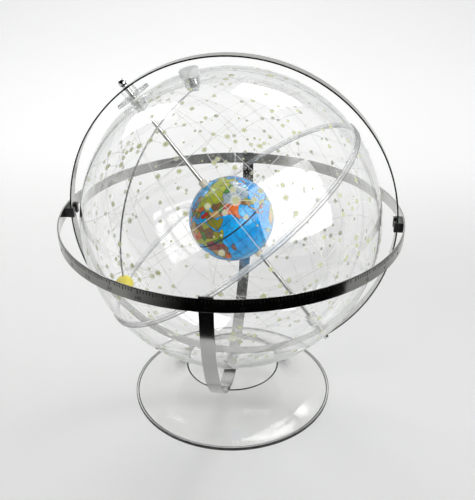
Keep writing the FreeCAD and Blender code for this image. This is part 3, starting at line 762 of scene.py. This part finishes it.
# Outlines as longitude,latitude points, drawn coarsely as on a small printed globe.
COASTS = """
-17,15 -16,20 -17,21 -13,28 -10,30 -9,33 -6,36 -2,35 3,37 10,37 11,34 15,32 20,31 20,33 25,32 29,31 32,31
34,27 37,21 39,15 43,12 44,10 51,12 50,8 46,3 42,-1 39,-5 40,-10 40,-15 35,-20 35,-24 33,-26 32,-29 28,-33
25,-34 20,-35 18,-33 15,-27 12,-18 14,-12 12,-6 9,-1 9,4 5,4 2,6 -4,5 -8,4 -13,8 -15,11; 49,-12 50,-15
48,-22 47,-25 44,-24 43,-21 44,-16 47,-15; -9,37 -9,43 -2,43 -1,46 -5,48 0,49 4,52 8,54 8,57 10,57 10,54
14,54 19,54 21,57 24,58 28,60 23,60 21,62 25,65 22,66 17,62 17,59 14,56 12,56 11,59 6,58 5,61 12,66 19,70
28,71 36,69 41,67 35,66 38,64 44,66 46,68 54,68 60,69 68,69 67,72 73,73 73,68 80,72 87,75 100,77 113,74
125,73 140,72 150,71 160,70 170,70 180,69 190,66 180,65 179,62 170,60 163,60 162,56 157,51 156,57 163,61
157,62 150,59 142,59 135,55 141,53 140,48 135,44 131,43 127,40 129,36 126,34 126,38 124,40 121,39 121,41
118,39 122,37 119,35 122,31 121,28 117,24 110,21 108,22 106,19 109,15 109,11 106,9 105,9 103,11 101,13 99,10
103,4 104,1 101,3 98,8 98,13 97,17 94,16 94,19 91,22 87,21 82,17 80,13 80,10 77,8 75,13 73,20 70,21 69,22
67,25 61,25 57,27 51,28 48,30 50,27 51,25 54,24 56,26 60,22 57,19 52,16 45,13 43,13 42,17 39,21 35,28 36,32
36,36 30,36 27,37 26,40 30,41 36,42 41,41 37,45 39,47 35,46 33,45 32,46 28,44 28,42 24,41 23,38 21,37 19,41
14,45 12,44 16,42 18,40 16,38 12,42 9,44 3,43 0,40 -2,37 -5,36; -5,50 1,51 0,53 -3,56 -2,57 -5,58 -6,56
-3,54 -5,52; -10,52 -6,52 -6,55 -8,55; -24,65 -19,63 -14,65 -16,66; 130,31 131,33 135,33 139,35 141,36
142,40 145,43 142,45 140,42 139,38 136,37 131,34; 142,46 143,49 143,54 142,52; 120,23 122,25 121,22; 120,14
122,18 124,13 126,7 122,7 123,10; 109,1 113,3 117,7 119,5 117,1 116,-4 110,-3; 95,6 104,-2 106,-6 102,-4
99,2; 105,-7 110,-6 114,-8 110,-8; 119,-3 120,1 125,1 121,0 121,-2 123,-4 120,-5; 131,-1 134,-3 141,-3
147,-6 150,-10 143,-8 138,-8 133,-4; 114,-22 114,-26 116,-32 118,-35 124,-33 131,-31 135,-35 138,-33 140,-38
146,-39 150,-37 153,-31 153,-25 146,-19 142,-11 141,-17 136,-16 137,-12 131,-12 128,-15 122,-18; 145,-41
148,-41 147,-44; 173,-34 178,-38 175,-41 171,-46 166,-46 172,-41 174,-39; 80,10 82,7 80,6; -46,60 -43,60
-40,65 -22,70 -20,75 -12,81 -33,84 -60,82 -73,78 -58,75 -54,70 -53,66; -168,66 -162,59 -158,56 -151,60
-140,60 -133,56 -124,48 -124,40 -120,34 -117,32 -110,23 -115,31 -112,29 -106,21 -97,16 -92,14 -86,11 -83,8
-79,7 -77,8 -83,11 -83,15 -88,16 -87,21 -90,21 -95,18 -98,22 -97,28 -94,30 -89,29 -84,30 -82,27 -81,25
-80,27 -81,31 -76,35 -74,40 -70,42 -70,44 -64,44 -60,46 -65,48 -60,50 -56,52 -61,57 -65,60 -69,59 -78,62
-77,57 -79,55 -82,53 -83,55 -93,57 -94,60 -87,64 -82,67 -82,70 -95,72 -115,68 -128,70 -141,70 -156,71
-166,68; -64,62 -78,65 -73,68 -80,72 -90,73 -80,74 -68,70 -61,66; -90,76 -78,76 -62,82 -75,83 -92,81;
-117,71 -105,69 -101,72 -115,74; -85,22 -80,23 -74,20 -77,20; -74,18 -73,20 -68,18; -77,8 -75,11 -71,12
-68,11 -62,11 -60,8 -52,5 -50,0 -44,-2 -40,-3 -35,-5 -35,-9 -39,-13 -40,-21 -48,-26 -53,-33 -58,-34 -57,-37
-62,-39 -65,-41 -67,-46 -66,-47 -69,-51 -68,-53 -66,-55 -71,-54 -75,-50 -73,-42 -74,-37 -71,-30 -70,-18
-76,-14 -81,-6 -80,-1 -77,3; -180,-78 -160,-77 -150,-76 -125,-73 -100,-72 -75,-73 -65,-67 -57,-63 -62,-70
-61,-75 -75,-78 -60,-81 -35,-78 -15,-73 0,-70 30,-69 55,-66 85,-66 110,-66 145,-67 165,-71 163,-77 180,-78
180,-85 -180,-85
"""
LAKES = """
50,45 53,45 53,41 54,37 50,37 49,40 47,43; 58,46 61,46 60,44; 32,0 34,0 34,-2 32,-2; -92,47 -85,48 -85,46;
-88,42 -86,46 -85,44; 104,52 109,54 110,55 105,51
"""

# A region is its ink and a rough border; the outlines above cut its coast.
INKS = {
    "lime": (0.42, 0.48, 0.02), "olive": (0.28, 0.27, 0.02), "grey": (0.36, 0.45, 0.50),
    "orange": (0.78, 0.15, 0.01), "red": (0.55, 0.03, 0.015), "wine": (0.26, 0.02, 0.02),
    "brown": (0.22, 0.10, 0.025), "green": (0.07, 0.24, 0.02), "sand": (0.60, 0.38, 0.10),
    "rose": (0.52, 0.24, 0.14), "ice": (0.74, 0.80, 0.84),
}
REGIONS = """
orange 68,24 71,28 74,32 75,36 79,34 81,30 88,27 97,28 95,25 92,21 85,15 83,6 79,5 76,6 68,18; red 61,24
61,29 66,30 69,32 71,36 75,36 74,32 71,28 70,24 66,22; green 61,29 61,35 66,37 71,38 75,37 71,36 69,32
66,30; sand 44,40 48,39 54,37 61,36 61,25 56,26 50,28 48,30 45,34; olive 34,29 39,32 44,31 48,29 52,25 57,27
61,22 53,14 43,12 40,19; brown 35,30 36,33 42,37 45,37 46,34 48,30 44,30 39,32; red 25,36 25,40 30,42 43,42
44,39 42,37 36,36; lime 47,50 61,51 62,54 70,55 77,54 83,51 87,49 80,45 80,42 70,42 61,44 56,45 53,42; brown
53,42 56,45 61,44 66,43 70,42 75,42 74,39 71,38 66,37 61,35 54,37; grey 74,39 80,42 80,45 87,49 91,45 96,43
105,42 111,45 118,47 116,50 120,53 126,53 131,48 135,48 131,45 130,42 124,40 122,36 123,30 119,23 110,17
108,21 102,22 98,24 97,28 88,27 81,30 79,34 75,36; green 87,49 98,51 107,50 116,50 118,47 111,45 105,42
96,43 91,45; brown 91,20 92,22 95,25 97,28 98,24 100,21 98,17 99,10 93,14; sand 98,17 100,21 102,18 105,14
102,11 104,0 97,5 99,10; lime 100,21 102,22 108,22 111,14 104,7 105,14 102,18; rose 124,40 130,42 130,33
124,34; green -6,49 2,51 8,49 7,44 3,42 -2,43; orange -11,36 -10,45 -2,43 3,42 1,36; brown 6,55 14,55 15,51
13,48 7,47; rose 7,46 14,46 20,39 15,36 8,40; grey 4,57 13,70 32,72 28,69 20,69 12,64 11,59; sand 11,59
12,64 20,69 24,66 17,60 13,55; rose 20,69 28,69 31,62 27,60 21,60 24,66; sand 14,55 24,55 24,49 19,48 15,51;
olive 14,46 22,48 28,45 29,41 23,36 18,40; orange 22,48 24,51 34,52 40,49 37,46 30,45; lime 24,32 34,32
36,22 25,22; brown 9,30 11,34 25,33 25,20 15,23; sand -9,27 -2,32 -2,36 8,38 9,30 12,23 4,19 -5,25; rose
-18,21 -9,27 -2,32 -2,36 -8,36 -15,28; orange -12,15 -5,25 4,19 15,23 15,14 0,11 -8,11; green 15,23 24,20
22,11 15,8 14,14; brown 25,22 37,22 38,16 36,12 34,8 27,8 22,11 24,20; olive 36,12 38,16 43,12 48,8 42,4
34,8; lime 43,12 52,13 50,5 42,-2 42,4 48,8; green 30,4 34,4 42,4 42,-2 39,-5 30,-1; wine 30,-1 39,-5 42,-11
34,-11 29,-7; wine 12,-6 17,5 27,5 30,3 29,-7 30,-12 24,-11 17,-8; lime 2,4 3,13 14,14 17,5 8,3; sand 10,-6
17,-8 24,-11 22,-17 10,-18; rose 22,-17 24,-11 30,-12 33,-10 33,-15 31,-22 25,-18; brown 33,-11 42,-10
41,-16 36,-27 31,-26 31,-22 33,-15; olive 10,-18 25,-18 29,-22 20,-28 15,-29; orange 15,-29 20,-28 29,-22
31,-22 34,-27 25,-36 16,-36; brown 42,-11 52,-11 52,-27 42,-27; orange 78,11 83,11 83,5 78,5; orange -126,49
-95,49 -83,46 -79,43 -67,47 -66,44 -80,24 -97,25 -106,31 -117,32 -126,40; orange -141,60 -141,71 -170,72
-170,52 -135,55; green -117,32 -106,31 -97,25 -86,22 -92,14 -118,22; green -73,-7 -69,2 -60,5 -51,4 -34,-4
-38,-20 -53,-34 -57,-30 -54,-25 -58,-19 -65,-11; sand -69,-23 -62,-22 -54,-26 -57,-33 -60,-42 -64,-56
-72,-50 -70,-33; rose -82,-3 -75,0 -70,-4 -73,-10 -69,-18 -76,-16; grey -80,1 -75,0 -70,-4 -67,2 -72,8
-73,13 -80,9; brown -73,13 -72,8 -67,2 -60,5 -60,12; red -69,-18 -65,-11 -58,-19 -62,-22 -69,-23; sand
112,-10 129,-10 129,-36 112,-36; rose 138,-26 138,-16 141,-9 155,-20 154,-28 141,-29; lime 129,-10 138,-10
138,-26 129,-26; green 141,-29 154,-28 152,-38 141,-34; ice -75,84 -10,84 -10,58 -50,58 -60,74; ice -180,-60
180,-60 180,-88 -180,-88; rose 129,30 146,30 146,46 135,46; lime -25,67 -12,67 -12,62 -25,62; red -11,50
2,50 2,60 -11,60; orange 94,7 107,-9 120,-9 120,2 110,2; olive 117,20 128,20 128,5 117,5
"""
GREENWICH_TURN = 140.1


def inside(point, corners):
    """Even-odd test in the flat map."""
    x, y = point
    hit = False
    for (x1, y1), (x2, y2) in zip(corners, corners[1:] + corners[:1]):
        if (y1 > y) != (y2 > y) and x < x1 + (y - y1) * (x2 - x1) / (y2 - y1):
            hit = not hit
    return hit


def on_earth(longitude, latitude, lift=0.0):
    direction = sky((longitude + GREENWICH_TURN) / 15.0, latitude)
    return CENTRE + direction * (EARTH_RADIUS + lift), direction


def fine(corners, step=2.5):
    """The outline with long sides cut up, so that it follows the ball."""
    points = []
    for (x1, y1), (x2, y2) in zip(corners, corners[1:] + corners[:1]):
        count = max(1, math.ceil(max(abs(x2 - x1), abs(y2 - y1)) / step))
        points += [(x1 + (x2 - x1) * i / count, y1 + (y2 - y1) * i / count) for i in range(count)]
    return points


def flat_map():
    """Triangles of land in longitude and latitude, each with the name of its ink."""
    coasts, lakes = outlines(COASTS), outlines(LAKES)
    regions = [(name, numbers(text)) for name, text in (
        entry.split(maxsplit=1) for entry in REGIONS.split(";"))]
    points, edges = [], []
    for corners in coasts + lakes + [region[1] for region in regions]:
        cut = fine(corners)
        start = len(points)
        points += [Vector(p) for p in cut]
        edges += [(start + i, start + (i + 1) % len(cut)) for i in range(len(cut))]
    lattice = 4
    for longitude in range(-178, 192, lattice):
        points += [Vector((longitude + 0.13, latitude + 0.17)) for latitude in range(-84, 84, lattice)]
    spots, _, triangles, *_ = delaunay_2d_cdt(points, edges, [], 0, 1e-4)
    chosen = []
    for triangle in triangles:
        middle = sum((spots[i] for i in triangle), Vector((0, 0))) / 3
        if not any(inside(middle, coast) for coast in coasts) or any(inside(middle, lake) for lake in lakes):
            continue
        name = next((name for name, corners in regions if inside(middle, corners)), "lime")
        chosen.append((tuple(triangle), name))
    return spots, chosen


def draw_earth_map():
    spots, chosen = flat_map()
    used = sorted({i for triangle, _ in chosen for i in triangle})
    number = {old: new for new, old in enumerate(used)}
    low, high = -0.05 * MM, 0.05 * MM
    points = [on_earth(*spots[i], lift)[0] for lift in (high, low) for i in used]
    count = len(used)
    faces, inks, borders = [], [], {}
    for triangle, name in chosen:
        corners = [number[i] for i in triangle]
        faces += [corners, [i + count for i in reversed(corners)]]
        inks += [name, name]
        for a, b in zip(corners, corners[1:] + corners[:1]):
            borders.setdefault(frozenset((a, b)), []).append((a, b, name))
    lines = Print(0.0, 0.08)
    for sharing in borders.values():
        a, b, name = sharing[0]
        if len(sharing) == 1:
            faces.append([a, a + count, b + count, b])
            inks.append(name)
        if len(sharing) == 1 or sharing[0][2] != sharing[1][2]:
            ends = [(points[i], (points[i] - CENTRE).normalized()) for i in (a, b)]
            lines.strip(ends, 0.34)
    piece = new_piece("earth_land", points, faces, land("land_print"), *ON_EARTH)
    colours = piece.data.color_attributes.new("country", "FLOAT_COLOR", "CORNER")
    for face, name in zip(piece.data.polygons, inks):
        for corner in face.loop_indices:
            colours.data[corner].color = (*INKS[name], 1.0)
    lines.finish("earth_borders", ink("border_ink", (0.10, 0.07, 0.05)), *ON_EARTH)


def draw_earth_lines():
    """The equator as a heavy line, a fine net of meridians and parallels, and dashes for currents."""
    net, heavy, currents = Print(0.04, 0.10), Print(0.04, 0.14), Print(-0.02, 0.07)
    coasts = outlines(COASTS)
    for latitude in (-60, -45, -30, -15, 15, 30, 45, 60, 75):
        net.strip([on_earth(4 * i, latitude) for i in range(90)], 0.42, closed=True)
    for longitude in range(0, 360, 15):
        net.strip([on_earth(longitude, -80 + 4 * i) for i in range(41)], 0.42)
    heavy.strip([on_earth(3 * i, 0) for i in range(120)], 1.6, closed=True)
    for degree in range(0, 360, 5):
        heavy.strip([on_earth(degree, -1.6), on_earth(degree, 1.6)], 0.3)
    for latitude in range(-55, 56, 3):
        longitude = random.uniform(0, 6)
        while longitude < 360:
            span = random.uniform(3, 9)
            ends = ((longitude + 180) % 360 - 180, (longitude + span + 180) % 360 - 180)
            wet = not any(inside((end, latitude), coast) for end in ends for coast in coasts)
            if abs(latitude) > 3 and wet:
                currents.strip([on_earth(longitude + span * i / 3, latitude) for i in range(4)], 0.5)
            longitude += span + random.uniform(1.5, 6)
    currents.finish("earth_currents", ink("current_ink", (0.01, 0.07, 0.24), 0.9), *ON_EARTH)
    net.finish("earth_net", ink("net_ink", (0.03, 0.12, 0.28), 0.85), *ON_EARTH)
    heavy.finish("earth_equator", ink("equator_ink", (0.01, 0.02, 0.06)), *ON_EARTH)


draw_earth_map()
draw_earth_lines()


# ---- the studio

@recipe
def backlit_paper(g):
    """Pale paper with painted light of its own: a glow that grows towards the back and leans a little from
    side to side.
    """
    mottle = g.noise(g.place(), 3.0, 3.0)
    paper = g.mix(mottle, (0.70, 0.70, 0.69), (0.74, 0.74, 0.735))
    parts = g.split(g.place())
    rightward = g.ramp(parts[0], -0.25, 0.25, -1.0, 1.0)
    lean = g.math("MULTIPLY", rightward, g.ramp(parts[1], -0.1, 0.4, 0.035, -0.017))
    painted_glow = g.math("ADD", g.ramp(parts[1], 0.2, 1.1, 0.26, 0.55), lean)
    return g.principled(Base_Color=paper, Roughness=0.8, Emission_Color=(0.99, 1.0, 1.0),
                        Emission_Strength=painted_glow)


def draw_sweep():
    """A pale floor that curves up into a backdrop behind the globe."""
    half, near, far, bend, top, drop = 4.0, -3.0, 1.6, 0.9, 3.2, 0.2 * MM
    profile = [(near, 0.0)]
    steps = 16
    for i in range(steps + 1):
        angle = math.pi / 2 * i / steps
        profile.append((far - bend + bend * math.sin(angle), bend - bend * math.cos(angle)))
    profile.append((far, top))
    points = [Vector((x, y, z - drop)) for y, z in profile for x in (-half, half)]
    faces = [(2 * i, 2 * i + 1, 2 * i + 3, 2 * i + 2) for i in range(len(profile) - 1)]
    sweep = new_piece("sweep", points, faces, backlit_paper("floor_paper"))
    sweep.data.shade_smooth()
    return sweep


@recipe
def unlit_room(g):
    """Black to reflections, but open towards the left and to a view that nothing has reflected."""
    black = g.add("BsdfDiffuse", inputs={"Color": (0.002, 0.002, 0.002)})
    gap = g.math("MAXIMUM", g.ramp(g.split(g.place())[0], -0.55, -0.14, 1.0, 0.0), g.unreflected())
    return g.blend(gap, black, g.add("BsdfTransparent"))


def draw_dark_card():
    """The unlit room on the camera's side: only the polished metal and the plastic see it."""
    lift = 0.8 * MM
    outline = numbers("-0.9,-1.8 1.5,-1.8 1.5,-0.2 0.45,-0.16 0.14,-0.28 -0.1,-0.31 -0.6,-0.33")
    points = [Vector((x, y, lift)) for x, y in outline]
    card = new_piece("dark_card", points, [tuple(range(len(points)))], unlit_room("dark_room"))
    card.visible_camera = card.visible_diffuse = card.visible_shadow = False


def area_light(name, direction, distance, size, watts, shaded=()):
    """A softbox that faces the globe.

    The objects in shaded are kept out of its light, as by a flag in front of the lamp.
    """
    light = bpy.data.lights.new(name, "AREA")
    light.shape = "RECTANGLE"
    light.size, light.size_y = size
    light.energy = watts
    lamp = bpy.data.objects.new(name, light)
    lamp.location = CENTRE + direction * distance
    lamp.rotation_euler = (-direction).to_track_quat("-Z", "Y").to_euler()
    bpy.context.scene.collection.objects.link(lamp)
    if shaded:
        flag = bpy.data.collections.new(name + "_flag")
        lamp.light_linking.receiver_collection = flag
        for piece in shaded:
            flag.objects.link(piece)
        for member in flag.collection_objects:
            member.light_linking.link_state = "EXCLUDE"
    return lamp


def light_world():
    """Soft light from above and behind, falling off to a dark room on the camera's side.

    Only reflections and shading see the dark room: to the eye the backdrop is pale all round.
    """
    world = bpy.data.worlds.new("studio")
    bpy.context.scene.world = world
    g = Graph(world)
    parts = g.split(g.add("TexCoord", "Generated"))
    behind = g.ramp(parts[1], -0.2, 0.5)
    between = g.ramp(g.math("ABSOLUTE", parts[0]), 0.55, 0.95, 1.0, 0.55)
    shade = g.mix(g.math("MULTIPLY", behind, between), (0.004, 0.004, 0.004), (1.0, 1.0, 0.99))
    shade = g.mix(g.unreflected(1.0), shade, (1.0, 1.0, 1.0))
    g.add("OutputWorld", inputs={"Surface": g.add("Background", inputs={"Color": shade, "Strength": 0.84})})


def place_camera():
    """Three quarters of a metre off, a little to the right and looking down at the globe."""
    scene = bpy.context.scene
    camera = bpy.data.cameras.new("camera")
    camera.lens = 54.0
    camera.sensor_width = 36.0
    eye = bpy.data.objects.new("camera", camera)
    distance, roll_deg = 0.7698, -0.234
    eye.location = CENTRE + toward(7.2, 25.17) * distance
    aim = CENTRE + Vector((0.00787, -0.01415, -0.02867))
    turn = (aim - eye.location).to_track_quat("-Z", "Y")
    eye.rotation_mode = "QUATERNION"
    eye.rotation_quaternion = turn @ Quaternion((0, 0, 1), math.radians(roll_deg))
    scene.collection.objects.link(eye)
    scene.camera = eye


paper = draw_sweep()
base = nodes["base_shell"]
draw_dark_card()
light_world()
area_light("key_softbox", toward(56, 26), 1.15, (1.15, 0.92), 13.0, [paper, base])
area_light("overhead_softbox", toward(163, 49), 1.25, (0.55, 0.5), 5.0)
area_light("left_softbox", toward(-126, 36), 1.3, (0.3, 0.7), 2.6, [base])
fill = area_light("front_fill", toward(-35, 40), 1.4, (0.9, 0.9), 6.0)
fill.visible_glossy = fill.visible_transmission = False
place_camera()
bpy.context.scene.view_settings.view_transform = "Standard"
bpy.context.scene.cycles.transparent_max_bounces = 48
